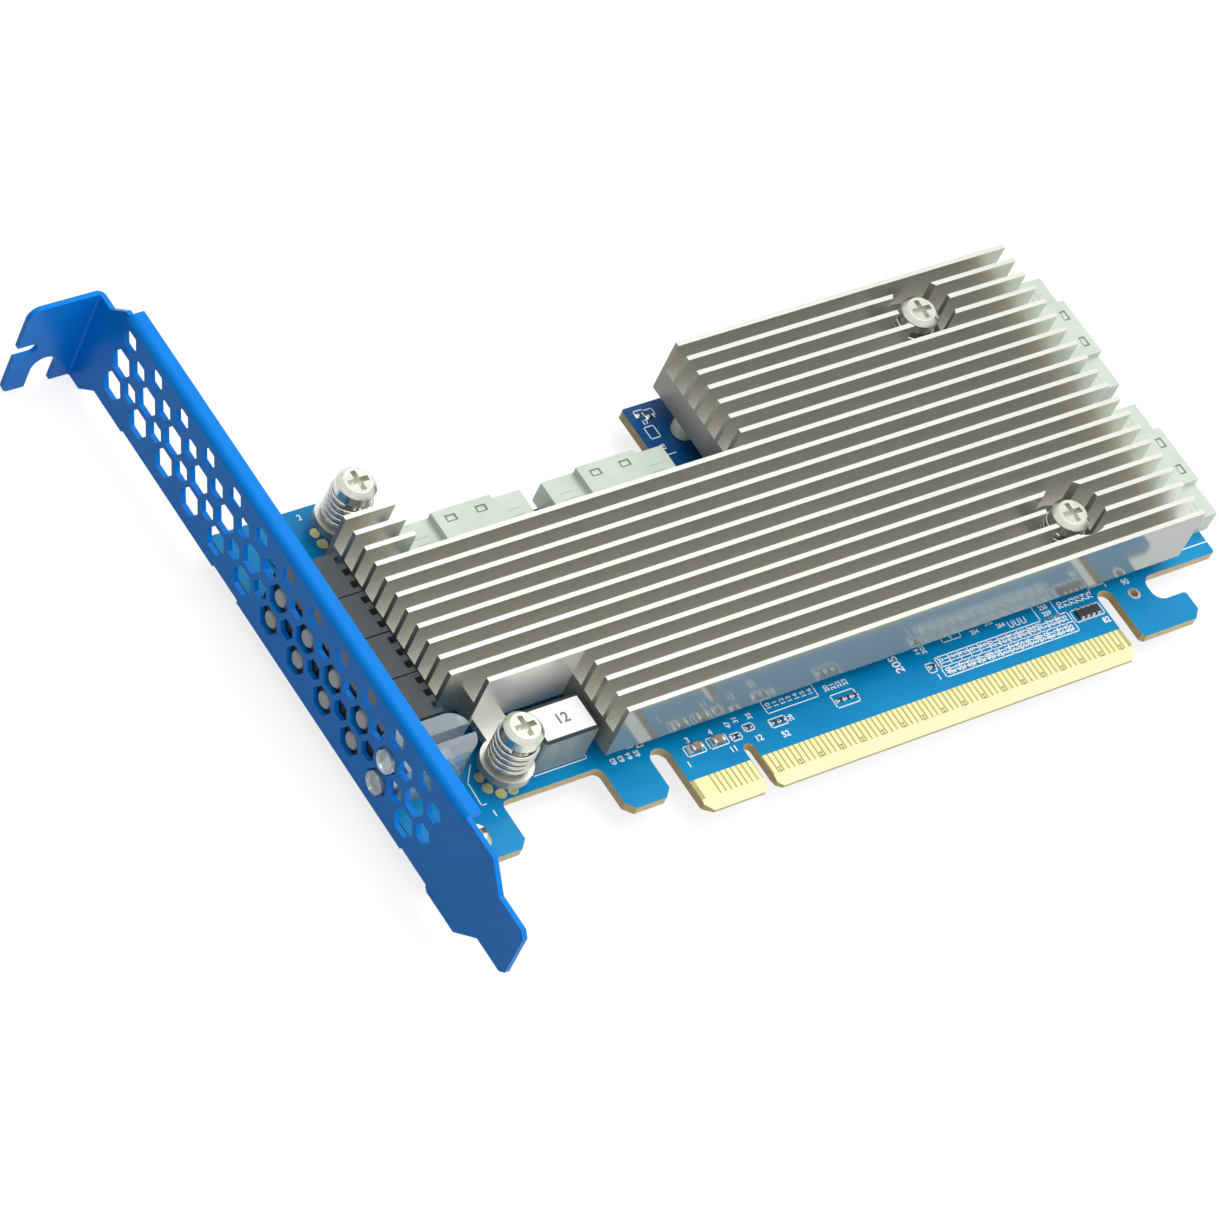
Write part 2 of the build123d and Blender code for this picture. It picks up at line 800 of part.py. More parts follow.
def make_inductor_label():
    """Label on the inductor's top."""
    return chip(inductor_x, inductor_y, inductor_length - label_inset * 2, inductor_width - label_inset * 2,
                inductor_height, inductor_height + label_thickness)


def connector_form(inset, back, front):
    """Cable connector's form between two depths, its middle higher than its sides, facing along Y."""
    half = shell_width / 2 - inset
    mid = shell_mid_width / 2 - inset
    sides = block(-half, half, back, front, inset, shell_side_height - inset)
    return sides + block(-mid, mid, back, front, inset, shell_height - inset)


def make_shell():
    """Metal shell of a cable connector, open at its front, with two windows in its top."""
    cavity = connector_form(shell_sheet, shell_sheet - shell_depth, overrun)
    windows = [block(x - window_width / 2, x + window_width / 2, -window_setback - window_length,
                     -window_setback, shell_height - shell_sheet - overrun, shell_height + overrun)
               for x in (-window_spacing / 2, window_spacing / 2)]
    return connector_form(0, -shell_depth, 0) - cavity - windows


def make_core():
    """Plastic core of a cable connector, with the blade that carries its contacts."""
    inset = shell_sheet + core_clearance
    back = inset - shell_depth
    half = shell_width / 2 - inset - blade_margin
    middle = shell_side_height / 2
    half_blade = blade_thickness / 2
    blade = block(-half, half, back, -blade_setback, middle - half_blade, middle + half_blade)
    return connector_form(inset, back, back + core_back) + blade


def connector_places():
    """Place of each cable connector's front, and its turn about Z."""
    return (
        (top_connector_1_x, top_connector_front, 0),
        (top_connector_2_x, top_connector_front, 0),
        (right_connector_front, right_connector_1_y, -90),
        (right_connector_front, right_connector_2_y, -90),
    )


def all_resistor_places():
    """Places of the resistors, with those near the board's top measured from its top edge."""
    return resistor_places + tuple((x, board_height - below) for x, below in top_resistor_places)


def two_ended(places, length, width, height):
    """Bodies and metal ends of small parts, each with an end at its left and its right."""
    bodies = []
    ends = []
    end = length * end_share
    for x, y in places:
        bodies.append(chip(x, y, length - end * 2, width, 0, height))
        for side in (-1, 1):
            ends.append(chip(x + side * (length - end) / 2, y, end, width, 0, height))
    return Compound(bodies), Compound(ends)


def make_all():
    """Every node's name and shape."""
    nodes = {
        "circuit_board": make_board(),
        "contacts_front": make_contacts(0, contact_plating),
        "contacts_back": make_contacts(board_bottom - contact_plating, board_bottom),
        "bracket": make_bracket(),
        "bracket_screws": make_fixing_screws(),
        "heat_sink": make_heat_sink(),
        "spring_screws": make_spring_screws(),
        "springs": make_springs(),
        "standoffs": make_standoffs(),
        "controller_base": chip(chip_x, chip_y, chip_width, chip_width, 0, chip_thickness),
        "controller_lid": chip(chip_x, chip_y, lid_width, lid_width, chip_thickness,
                               chip_thickness + lid_thickness),
        "thermal_pad": chip(chip_x, chip_y, thermal_pad_width, thermal_pad_width,
                            chip_thickness + lid_thickness, sink_bottom),
        "memory_chips": column_of_chips(memory_x, memory_first_y, memory_pitch, memory_count,
                                        memory_length, memory_width, memory_height),
        "regulators": column_of_chips(regulator_x, regulator_first_y, regulator_pitch, regulator_count,
                                      regulator_width, regulator_width, regulator_height),
        "flash_chip": chip(flash_x, flash_y, flash_length, flash_width, 0, flash_height),
        "crystal": make_crystal(),
        "light_pipe": make_light_pipe(),
        "pipe_lamps": make_lamps(),
        "power_inductor": make_inductor(),
        "inductor_terminals": Compound(inductor_terminals()),
        "inductor_label": make_inductor_label(),
    }
    for index in range(block_count):
        column = block_top_column - index
        nodes[f"led_housing_{index + 1}"] = make_indicator_block(column)
        nodes[f"led_lenses_{index + 1}"] = make_lenses(column)
    shell = make_shell()
    core = make_core()
    for index, (x, y, turn) in enumerate(connector_places()):
        place = Pos(x, y, 0) * Rot(0, 0, turn)
        nodes[f"cable_shell_{index + 1}"] = place * shell
        nodes[f"cable_core_{index + 1}"] = place * core
    small = (
        ("capacitor", capacitor_places, capacitor_length, capacitor_width, capacitor_height),
        ("resistor", all_resistor_places(), resistor_length, resistor_width, resistor_height),
        ("resistor_array", ((array_x, array_y),), array_length, array_width, array_height),
    )
    for name, places, length, width, height in small:
        nodes[f"{name}_bodies"], nodes[f"{name}_ends"] = two_ended(places, length, width, height)
    return nodes


os.makedirs("parts", exist_ok=True)
for name, shape in make_all().items():
    export_step(shape, f"parts/{name}.step")
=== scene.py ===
from math import cos, pi, radians, sin

import bmesh
import bpy
from mathutils import Matrix, Vector


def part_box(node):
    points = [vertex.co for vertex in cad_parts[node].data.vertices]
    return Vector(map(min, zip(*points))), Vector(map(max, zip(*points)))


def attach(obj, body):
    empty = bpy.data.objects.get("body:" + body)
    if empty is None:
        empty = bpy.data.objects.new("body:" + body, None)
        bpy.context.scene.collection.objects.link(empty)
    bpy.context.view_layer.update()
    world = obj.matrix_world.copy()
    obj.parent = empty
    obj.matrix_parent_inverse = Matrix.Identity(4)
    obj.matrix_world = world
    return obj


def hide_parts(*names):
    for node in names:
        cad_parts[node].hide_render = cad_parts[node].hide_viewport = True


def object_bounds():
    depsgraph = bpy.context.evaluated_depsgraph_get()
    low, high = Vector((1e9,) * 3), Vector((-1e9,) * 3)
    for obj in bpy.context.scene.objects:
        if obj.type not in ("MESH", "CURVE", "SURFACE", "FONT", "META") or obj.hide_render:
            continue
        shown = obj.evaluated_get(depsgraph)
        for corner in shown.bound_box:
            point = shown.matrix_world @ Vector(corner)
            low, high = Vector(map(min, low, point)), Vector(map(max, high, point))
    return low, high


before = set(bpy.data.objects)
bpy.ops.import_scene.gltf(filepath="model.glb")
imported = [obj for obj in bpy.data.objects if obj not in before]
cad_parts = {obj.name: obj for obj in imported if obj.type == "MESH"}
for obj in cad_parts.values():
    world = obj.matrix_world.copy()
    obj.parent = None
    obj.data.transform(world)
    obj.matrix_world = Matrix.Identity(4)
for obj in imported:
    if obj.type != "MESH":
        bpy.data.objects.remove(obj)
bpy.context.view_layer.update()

mm = 0.001
up = Vector((0, 0, 1))

# What the frame gives
board_low, board_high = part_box("circuit_board")
sink_low, sink_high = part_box("heat_sink")
contact_low, contact_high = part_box("contacts_front")
spring_low, spring_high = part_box("springs")
inductor_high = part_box("power_inductor")[1]
board_face = board_high.z
board_back = board_low.z
array_low, array_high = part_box("resistor_array_ends")
shell_low, shell_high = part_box("cable_shell_1")
fin_tops = [v.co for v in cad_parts["heat_sink"].data.vertices if v.co.z > sink_high.z - 0.1 * mm]
front_wall = min(top.y for top in fin_tops)

# Heights that several pieces share
ink_height = 0.02 * mm
pad_height = 0.04 * mm
skin = 0.004 * mm

# Where the board's painted shade begins: the mask's paint is darker on the upper right, standing in for shade
painted_shade_low = board_high.y - 20.0 * mm
painted_shade_left = sink_low.x / 4


# Shared shader groups


def socket(group, name, kind, way, default=None):
    """Adds a named socket to a shader group."""
    made = group.interface.new_socket(name, in_out=way, socket_type=kind)
    if default is not None:
        made.default_value = default


def make_grain():
    """Stretched noise in object space, given as a value between two levels and as a normal."""
    group = bpy.data.node_groups.new("surface_grain", "ShaderNodeTree")
    socket(group, "Stretch", "NodeSocketVector", "INPUT", (1, 1, 1))
    socket(group, "Scale", "NodeSocketFloat", "INPUT", 400.0)
    socket(group, "Low", "NodeSocketFloat", "INPUT", 0.0)
    socket(group, "High", "NodeSocketFloat", "INPUT", 1.0)
    socket(group, "Depth", "NodeSocketFloat", "INPUT", 0.1)
    socket(group, "Value", "NodeSocketFloat", "OUTPUT")
    socket(group, "Normal", "NodeSocketVector", "OUTPUT")
    nodes, links = group.nodes, group.links
    given = nodes.new("NodeGroupInput")
    result = nodes.new("NodeGroupOutput")
    coordinates = nodes.new("ShaderNodeTexCoord")
    stretch = nodes.new("ShaderNodeVectorMath")
    stretch.operation = "MULTIPLY"
    noise = nodes.new("ShaderNodeTexNoise")
    noise.inputs["Detail"].default_value = 3.0
    noise.inputs["Roughness"].default_value = 0.6
    levels = nodes.new("ShaderNodeMapRange")
    levels.inputs["From Min"].default_value = 0.3
    levels.inputs["From Max"].default_value = 0.7
    bump = nodes.new("ShaderNodeBump")
    bump.inputs["Distance"].default_value = 0.05 * mm
    links.new(coordinates.outputs["Object"], stretch.inputs[0])
    links.new(given.outputs["Stretch"], stretch.inputs[1])
    links.new(stretch.outputs["Vector"], noise.inputs["Vector"])
    links.new(given.outputs["Scale"], noise.inputs["Scale"])
    links.new(noise.outputs["Fac"], levels.inputs["Value"])
    links.new(given.outputs["Low"], levels.inputs["To Min"])
    links.new(given.outputs["High"], levels.inputs["To Max"])
    links.new(noise.outputs["Fac"], bump.inputs["Height"])
    links.new(given.outputs["Depth"], bump.inputs["Strength"])
    links.new(levels.outputs["Result"], result.inputs["Value"])
    links.new(bump.outputs["Normal"], result.inputs["Normal"])
    return group


grain_group = make_grain()


def shader(name):
    """New material with its nodes, links and Principled shader."""
    material = bpy.data.materials.new(name)
    material.use_nodes = True
    tree = material.node_tree
    return material, tree.nodes, tree.links, tree.nodes["Principled BSDF"]


def add_grain(nodes, stretch, scale, low, high, depth):
    """Places the shared grain in a material with its own values."""
    grain = nodes.new("ShaderNodeGroup")
    grain.node_tree = grain_group
    grain.inputs["Stretch"].default_value = stretch
    grain.inputs["Scale"].default_value = scale
    grain.inputs["Low"].default_value = low
    grain.inputs["High"].default_value = high
    grain.inputs["Depth"].default_value = depth
    return grain


def blend_colours(nodes, links, mask, first, second):
    """Mixes two colours, or a colour and a socket, by a mask."""
    mix = nodes.new("ShaderNodeMix")
    mix.data_type = "RGBA"
    links.new(mask, mix.inputs["Factor"])
    for source, place in ((first, "A"), (second, "B")):
        if isinstance(source, tuple):
            mix.inputs[place].default_value = (*source, 1)
        else:
            links.new(source, mix.inputs[place])
    return mix.outputs["Result"]


def finish_material(name, colour, shade, metallic, rough, stretch=(1, 1, 1), scale=600.0, depth=0.05,
                    coat=0.0, specular=0.5):
    """Plain finish whose colour and roughness vary a little with the grain."""
    material, nodes, links, principled = shader(name)
    grain = add_grain(nodes, stretch, scale, rough[0], rough[1], depth)
    tone = add_grain(nodes, stretch, scale / 3, 0.0, 1.0, 0.0)
    blend = blend_colours(nodes, links, tone.outputs["Value"], colour, shade)
    links.new(blend, principled.inputs["Base Color"])
    links.new(grain.outputs["Value"], principled.inputs["Roughness"])
    links.new(grain.outputs["Normal"], principled.inputs["Normal"])
    principled.inputs["Metallic"].default_value = metallic
    principled.inputs["Specular IOR Level"].default_value = specular
    principled.inputs["Coat Weight"].default_value = coat
    principled.inputs["Coat Roughness"].default_value = 0.08
    return material


def step_mask(nodes, links, value, edge, above):
    """One where a value is above, or below, an edge."""
    test = nodes.new("ShaderNodeMath")
    test.operation = "GREATER_THAN" if above else "LESS_THAN"
    links.new(value, test.inputs[0])
    test.inputs[1].default_value = edge
    return test.outputs["Value"]


def combine(nodes, links, operation, first, second):
    """Joins two values by a math operation."""
    join = nodes.new("ShaderNodeMath")
    join.operation = operation
    links.new(first, join.inputs[0])
    links.new(second, join.inputs[1])
    return join.outputs["Value"]


def both(nodes, links, first, second):
    """Product of two masks."""
    return combine(nodes, links, "MULTIPLY", first, second)


def lessen(nodes, links, level, mask, share):
    """A level less a share of it where a mask is one."""
    lessened = nodes.new("ShaderNodeMath")
    lessened.operation = "MULTIPLY_ADD"
    links.new(mask, lessened.inputs[0])
    lessened.inputs[1].default_value = -share
    lessened.inputs[2].default_value = level
    return lessened.outputs["Value"]


def place_and_facing(nodes, links):
    """Object-space place and face direction, each split into its axes."""
    coordinates = nodes.new("ShaderNodeTexCoord")
    place = nodes.new("ShaderNodeSeparateXYZ")
    facing = nodes.new("ShaderNodeSeparateXYZ")
    links.new(coordinates.outputs["Object"], place.inputs["Vector"])
    links.new(coordinates.outputs["Normal"], facing.inputs["Vector"])
    return place.outputs, facing.outputs


def make_solder_mask():
    """Glossy blue mask on both faces, darker navy as painted shade on the upper right, tan laminate at the
    cut edges and pale bare laminate at the fingers.
    """
    material, nodes, links, principled = shader("blue_solder_mask")
    # The navy is painted shade for the board's upper right.
    blue, deep_blue, painted_shade_navy = (0.004, 0.280, 0.560), (0.001, 0.215, 0.500), (0.008, 0.085, 0.260)
    laminate, dark_laminate = (0.72, 0.58, 0.30), (0.52, 0.38, 0.17)
    bare, cream = (0.50, 0.43, 0.17), (0.86, 0.80, 0.50)
    finger_margin = 1.2 * mm
    place, facing = place_and_facing(nodes, links)
    flat = nodes.new("ShaderNodeMath")
    flat.operation = "ABSOLUTE"
    links.new(facing["Z"], flat.inputs[0])
    side = step_mask(nodes, links, flat.outputs["Value"], 0.5, False)
    low = step_mask(nodes, links, place["Y"], contact_high.y, False)
    bevel = step_mask(nodes, links, place["Y"], contact_low.y, False)
    left = step_mask(nodes, links, place["X"], contact_low.x - finger_margin, True)
    right = step_mask(nodes, links, place["X"], contact_high.x + finger_margin, False)
    fingers = both(nodes, links, low, both(nodes, links, left, right))
    # Painted shade: the blue turns navy on the board's upper right.
    upper = both(nodes, links, step_mask(nodes, links, place["Y"], painted_shade_low, True),
                 step_mask(nodes, links, place["X"], painted_shade_left, True))
    copper = add_grain(nodes, (1, 1, 1), 55.0, 0.0, 1.0, 0.0)
    fibre = add_grain(nodes, (1, 1, 6), 700.0, 0.0, 1.0, 0.0)
    weave = add_grain(nodes, (1, 1, 1), 2500.0, 0.16, 0.26, 0.05)
    lower_paint = blend_colours(nodes, links, copper.outputs["Value"], deep_blue, blue)
    painted = blend_colours(nodes, links, upper, lower_paint, painted_shade_navy)
    cut = blend_colours(nodes, links, fibre.outputs["Value"], laminate, dark_laminate)
    uncoated = blend_colours(nodes, links, bevel, bare, cream)
    with_fingers = blend_colours(nodes, links, fingers, painted, uncoated)
    links.new(blend_colours(nodes, links, side, with_fingers, cut), principled.inputs["Base Color"])
    links.new(weave.outputs["Value"], principled.inputs["Roughness"])
    links.new(weave.outputs["Normal"], principled.inputs["Normal"])
    principled.inputs["Specular IOR Level"].default_value = 0.20
    return material


def make_sink_metal():
    """Brushed nickel, hazy on the front wall, the step behind the inductor and the sawn left ends; painted
    light on the step, painted shade on the front wall, the groove floors and the left ends.
    """
    material, nodes, links, principled = shader("brushed_nickel")
    side_colour, side_shade = (0.755, 0.75, 0.69), (0.705, 0.70, 0.64)
    # Painted light brightens the step behind the inductor; painted shade darkens the front wall, the groove
    # floors and the faces turned to the left.
    step_painted_light, wall_painted_shade = (0.93, 0.92, 0.87), (0.44, 0.46, 0.43)
    groove_painted_shade, end_painted_shade = (0.50, 0.49, 0.45), (0.30, 0.295, 0.265)
    wall_reach, top_band, foot_band = 0.3 * mm, 1.0 * mm, 2.0 * mm
    step_reach, step_lap = 3.0 * mm, 0.6 * mm
    wall_smoothing, metal_level, haze = 0.68, 0.95, 0.50
    place, facing = place_and_facing(nodes, links)
    forward = step_mask(nodes, links, facing["Y"], -0.5, False)
    upward = step_mask(nodes, links, facing["Z"], 0.5, True)
    # Faces turned to the left: hazier, and darkened with painted shade.
    ends = step_mask(nodes, links, facing["X"], -0.5, False)
    # The front wall: smoother and hazier, and darkened with painted shade.
    front = both(nodes, links, step_mask(nodes, links, place["Y"], front_wall + wall_reach, False), forward)
    # Painted shade on the groove floors between the fins.
    above_foot = step_mask(nodes, links, place["Z"], sink_low.z + foot_band, True)
    below_tops = step_mask(nodes, links, place["Z"], sink_high.z - top_band, False)
    floors = both(nodes, links, both(nodes, links, below_tops, upward), above_foot)
    # Painted light on the step behind the inductor.
    near_step = step_mask(nodes, links, place["Y"], inductor_high.y + step_reach, False)
    left_of_step = step_mask(nodes, links, place["X"], inductor_high.x + step_lap, False)
    step = both(nodes, links, both(nodes, links, near_step, left_of_step), forward)
    tone = add_grain(nodes, (0.03, 1, 1), 500.0, 0.0, 1.0, 0.0)
    brushed = add_grain(nodes, (0.03, 1, 1), 1500.0, 0.33, 0.41, 0.04)
    sides = blend_colours(nodes, links, tone.outputs["Value"], side_colour, side_shade)
    with_step_light = blend_colours(nodes, links, step, sides, step_painted_light)
    with_wall_shade = blend_colours(nodes, links, front, with_step_light, wall_painted_shade)
    with_groove_shade = blend_colours(nodes, links, floors, with_wall_shade, groove_painted_shade)
    with_end_shade = blend_colours(nodes, links, ends, with_groove_shade, end_painted_shade)
    smoothing = lessen(nodes, links, 1.0, front, wall_smoothing)
    hazy = combine(nodes, links, "ADD", front, combine(nodes, links, "ADD", ends, step))
    links.new(with_end_shade, principled.inputs["Base Color"])
    links.new(lessen(nodes, links, metal_level, hazy, haze), principled.inputs["Metallic"])
    links.new(both(nodes, links, brushed.outputs["Value"], smoothing), principled.inputs["Roughness"])
    links.new(brushed.outputs["Normal"], principled.inputs["Normal"])
    return material


def make_ferrite():
    """Pressed iron powder with smooth grey sides and a black top."""
    material, nodes, links, principled = shader("pressed_iron_powder")
    side_colour, side_shade, top_colour = (0.295, 0.370, 0.370), (0.230, 0.290, 0.290), (0.012, 0.012, 0.013)
    place, facing = place_and_facing(nodes, links)
    top = step_mask(nodes, links, facing["Z"], 0.3, True)
    tone = add_grain(nodes, (1, 1, 0.3), 500.0, 0.0, 1.0, 0.0)
    grain = add_grain(nodes, (1, 1, 0.3), 1300.0, 0.34, 0.48, 0.12)
    sides = blend_colours(nodes, links, tone.outputs["Value"], side_colour, side_shade)
    links.new(blend_colours(nodes, links, top, sides, top_colour), principled.inputs["Base Color"])
    links.new(grain.outputs["Value"], principled.inputs["Roughness"])
    links.new(grain.outputs["Normal"], principled.inputs["Normal"])
    principled.inputs["Metallic"].default_value = 0.15
    return material


def make_clear(name, colour, roughness):
    """Clear moulding."""
    material, nodes, links, principled = shader(name)
    grain = add_grain(nodes, (1, 1, 1), 300.0, roughness, roughness + 0.06, 0.08)
    principled.inputs["Base Color"].default_value = (*colour, 1)
    principled.inputs["Transmission Weight"].default_value = 0.72
    principled.inputs["Coat Weight"].default_value = 1.0
    principled.inputs["IOR"].default_value = 1.5
    links.new(grain.outputs["Value"], principled.inputs["Roughness"])
    links.new(grain.outputs["Normal"], principled.inputs["Normal"])
    return material


solder_mask = make_solder_mask()
gold = finish_material("gold_plating", (0.86, 0.82, 0.43), (0.80, 0.76, 0.38), metallic=0.75,
                       rough=(0.38, 0.48), stretch=(1, 6, 1), scale=900.0, depth=0.1)
enamel = finish_material("blue_enamel", (0.000, 0.235, 0.800), (0.000, 0.215, 0.745), metallic=0.0,
                         rough=(0.28, 0.34), scale=300.0, depth=0.0, specular=0.12)
# Brighter blue for the bracket's eased edges, a painted highlight.
enamel_edge_highlight = finish_material("blue_enamel_painted_edge_highlight", (0.004, 0.400, 1.000), (0.002, 0.370, 0.950),
                               metallic=0.0, rough=(0.20, 0.26))
fin_metal = make_sink_metal()
screw_metal = finish_material("bright_screw_plating", (0.74, 0.75, 0.67), (0.64, 0.64, 0.57), metallic=1.0,
                              rough=(0.22, 0.32), scale=900.0, depth=0.08)
spring_metal = finish_material("spring_wire_metal", (0.66, 0.66, 0.61), (0.56, 0.55, 0.51), metallic=1.0,
                               rough=(0.12, 0.20), scale=900.0)
standoff_metal = finish_material("nickel_barrel", (0.66, 0.64, 0.57), (0.54, 0.51, 0.44), metallic=1.0,
                                 rough=(0.12, 0.22), stretch=(1, 1, 0.2), scale=700.0)
shell_metal = finish_material("tin_plated_shell", (0.60, 0.67, 0.59), (0.54, 0.61, 0.53), metallic=0.35,
                              rough=(0.46, 0.56), scale=500.0)
tin = finish_material("soldered_tin", (0.78, 0.79, 0.79), (0.66, 0.67, 0.67), metallic=1.0,
                      rough=(0.26, 0.40), scale=1500.0, depth=0.2)
slate_plastic = finish_material("slate_moulding", (0.046, 0.058, 0.066), (0.034, 0.044, 0.050),
                                metallic=0.0, rough=(0.36, 0.48), scale=1200.0, depth=0.08)
black_plastic = finish_material("black_moulding", (0.028, 0.028, 0.031), (0.018, 0.018, 0.020),
                                metallic=0.0, rough=(0.45, 0.58), scale=1500.0, depth=0.10)
chip_green = finish_material("package_laminate", (0.020, 0.075, 0.040), (0.014, 0.055, 0.030), metallic=0.0,
                             rough=(0.35, 0.45), scale=900.0)
lid_metal = finish_material("nickel_lid", (0.62, 0.61, 0.58), (0.54, 0.53, 0.50), metallic=1.0,
                            rough=(0.28, 0.38))
can_metal = finish_material("satin_can", (0.95, 0.90, 0.70), (0.88, 0.83, 0.64), metallic=0.1,
                            rough=(0.40, 0.50))
pad_rubber = finish_material("thermal_pad", (0.36, 0.38, 0.42), (0.30, 0.32, 0.36), metallic=0.0,
                             rough=(0.6, 0.7), scale=900.0, depth=0.2)
ferrite = make_ferrite()
label_film = finish_material("white_label_film", (0.95, 0.97, 0.97), (0.92, 0.94, 0.94), metallic=0.0,
                             rough=(0.30, 0.38), scale=500.0, depth=0.02)
label_ink = finish_material("grey_label_ink", (0.22, 0.22, 0.24), (0.16, 0.16, 0.18), metallic=0.0,
                            rough=(0.5, 0.6), scale=900.0, depth=0.0)
board_ink = finish_material("white_board_ink", (0.95, 0.97, 0.98), (0.88, 0.91, 0.94), metallic=0.0,
                            rough=(0.5, 0.6), scale=900.0, depth=0.0)
mark_grey = finish_material("bare_laminate_grey", (0.42, 0.40, 0.24), (0.36, 0.34, 0.20), metallic=0.0,
                            rough=(0.5, 0.6), scale=900.0, depth=0.0)
tan_ceramic = finish_material("tan_ceramic", (0.40, 0.27, 0.16), (0.32, 0.21, 0.12), metallic=0.0,
                              rough=(0.40, 0.5), scale=1500.0, depth=0.08)
dark_ceramic = finish_material("dark_ceramic", (0.040, 0.040, 0.045), (0.028, 0.028, 0.032), metallic=0.0,
                               rough=(0.28, 0.4), scale=1500.0)
lens_grey = finish_material("milky_lens", (0.32, 0.35, 0.36), (0.26, 0.29, 0.30), metallic=0.0,
                            rough=(0.16, 0.24), scale=700.0, depth=0.03, coat=0.4)
lamp_white = finish_material("lamp_body", (0.78, 0.74, 0.58), (0.70, 0.66, 0.50), metallic=0.0,
                             rough=(0.4, 0.5), scale=900.0, depth=0.03)
clear_plastic = make_clear("clear_moulding", (0.84, 0.94, 1.0), 0.02)
# Dark grey for the shells' seams, and as painted shade in the windows under the spring tabs.
seam_and_window_shade = finish_material("dark_seams_and_painted_window_shade", (0.24, 0.26, 0.23), (0.20, 0.22, 0.19), metallic=0.0,
                             rough=(0.5, 0.6), scale=500.0)


# Making pieces


def dress(node, material):
    """Gives a CAD node its material."""
    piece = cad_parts[node]
    piece.data.materials.clear()
    piece.data.materials.append(material)


def finish_piece(name, form, material, smooth=False):
    """Turns a bmesh into a piece that rides on the card."""
    bmesh.ops.recalc_face_normals(form, faces=form.faces)
    mesh = bpy.data.meshes.new(name)
    form.to_mesh(mesh)
    form.free()
    mesh.materials.append(material)
    if smooth:
        mesh.shade_smooth()
    piece = bpy.data.objects.new(name, mesh)
    bpy.context.scene.collection.objects.link(piece)
    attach(piece, "root")
    return piece


def ease(piece, width, segments=2, angle=30):
    """Rounds a piece's sharp edges."""
    bevel = piece.modifiers.new("eased_edges", "BEVEL")
    bevel.width = width
    bevel.segments = segments
    bevel.limit_method = "ANGLE"
    bevel.angle_limit = radians(angle)
    weighted = piece.modifiers.new("flat_faces", "WEIGHTED_NORMAL")
    weighted.weight = 100
    piece.data.shade_smooth()


def eased_copy(node, name, material, width, segments=2):
    """Copy of a CAD node, merged into closed shells and with its edges eased, which stands for the node."""
    form = bmesh.new()
    form.from_mesh(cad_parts[node].data)
    bmesh.ops.remove_doubles(form, verts=form.verts, dist=0.001 * mm)
    bmesh.ops.dissolve_limit(form, angle_limit=radians(0.5), verts=form.verts, edges=form.edges)
    piece = finish_piece(name, form, material)
    ease(piece, width, segments)
    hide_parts(node)
    return piece


def add_block(form, low, high):
    """Adds a box between two corners."""
    low, high = Vector(low), Vector(high)
    size = high - low
    place = Matrix.Translation((low + high) / 2) @ Matrix.Diagonal((*size, 1))
    return bmesh.ops.create_cube(form, size=1, matrix=place)["verts"]


def add_bar(form, start, end, width, low, high):
    """Adds a flat bar from one place on the board to another."""
    start, end = Vector(start), Vector(end)
    run = end - start
    middle = (start + end) / 2
    place = Matrix.Translation((middle.x, middle.y, (low + high) / 2))
    turn = Matrix.Rotation(run.angle_signed(Vector((1, 0))), 4, "Z")
    size = Matrix.Diagonal((run.length + width, width, high - low, 1))
    bmesh.ops.create_cube(form, size=1, matrix=place @ turn @ size)


def add_disc(form, x, y, low, high, radius, segments=24):
    """Adds an upright round slug."""
    place = Matrix.Translation((x, y, (low + high) / 2))
    bmesh.ops.create_cone(form, cap_ends=True, segments=segments, radius1=radius, radius2=radius,
                          depth=high - low, matrix=place)


def add_frame(form, low, high, width, bottom, top):
    """Adds a rectangular outline in bars."""
    x0, y0 = low
    x1, y1 = high
    corners = ((x0, y0), (x1, y0), (x1, y1), (x0, y1), (x0, y0))
    for start, end in zip(corners, corners[1:]):
        add_bar(form, start, end, width, bottom, top)


def add_number(form, words, x, y, height, turn, bottom, depth):
    """Adds plain digits, centred on a place, thickened a little by the stroke."""
    digit_share = 0.7
    stroke_share = 0.035
    curve = bpy.data.curves.new("digits", "FONT")
    curve.body = words
    curve.size = height / digit_share
    curve.align_x = "CENTER"
    curve.align_y = "CENTER"
    curve.extrude = depth / 2
    curve.offset = height * stroke_share
    holder = bpy.data.objects.new("digits", curve)
    bpy.context.scene.collection.objects.link(holder)
    bpy.context.view_layer.update()
    mesh = bpy.data.meshes.new_from_object(holder)
    mesh.transform(Matrix.Translation((x, y, bottom + depth / 2)) @ Matrix.Rotation(turn, 4, "Z"))
    form.from_mesh(mesh)
    bpy.data.objects.remove(holder)
    bpy.data.curves.remove(curve)
    bpy.data.meshes.remove(mesh)


# Board, contacts and printing

dress("circuit_board", solder_mask)
dress("contacts_front", gold)
dress("contacts_back", gold)

# Printing: sizes of lines and digits, then places in millimetres on the board's face
line_width = 0.18 * mm
large_digit_height = 1.5 * mm
digit_height = 1.0 * mm
small_digit_height = 0.85 * mm
table_digit_height = 0.75 * mm
upright = pi / 2
wall_foot_lines = ((-15.4, -6.5), (-5.8, 3.1), (4.6, 6.2), (24.6, 31.0), (34.0, 36.0))
part_outlines = (
    (-0.8, 9.9, 0.95, 0.62), (2.1, 10.7, 0.95, 0.62), (7.3, 9.95, 1.55, 0.75),
    (20.3, 9.9, 2.2, 1.2), (37.3, 9.9, 0.75, 0.85), (69.2, 10.0, 2.9, 1.1),
)
part_numbers = (
    ("1", -10.8, 8.1), ("11", -2.4, 8.1), ("12", 2.6, 8.4), ("82", 71.5, 7.7),
    ("1", 37.6, 8.0), ("52", 7.2, 7.6), ("90", 79.2, 12.8),
)
upright_part_numbers = (
    ("47", -0.8, 12.2), ("31", 0.8, 12.6), ("35", 3.4, 12.4),
    ("26", 9.7, 9.9), ("14", 36.9, 13.2), ("303", 38.1, 13.4),
)
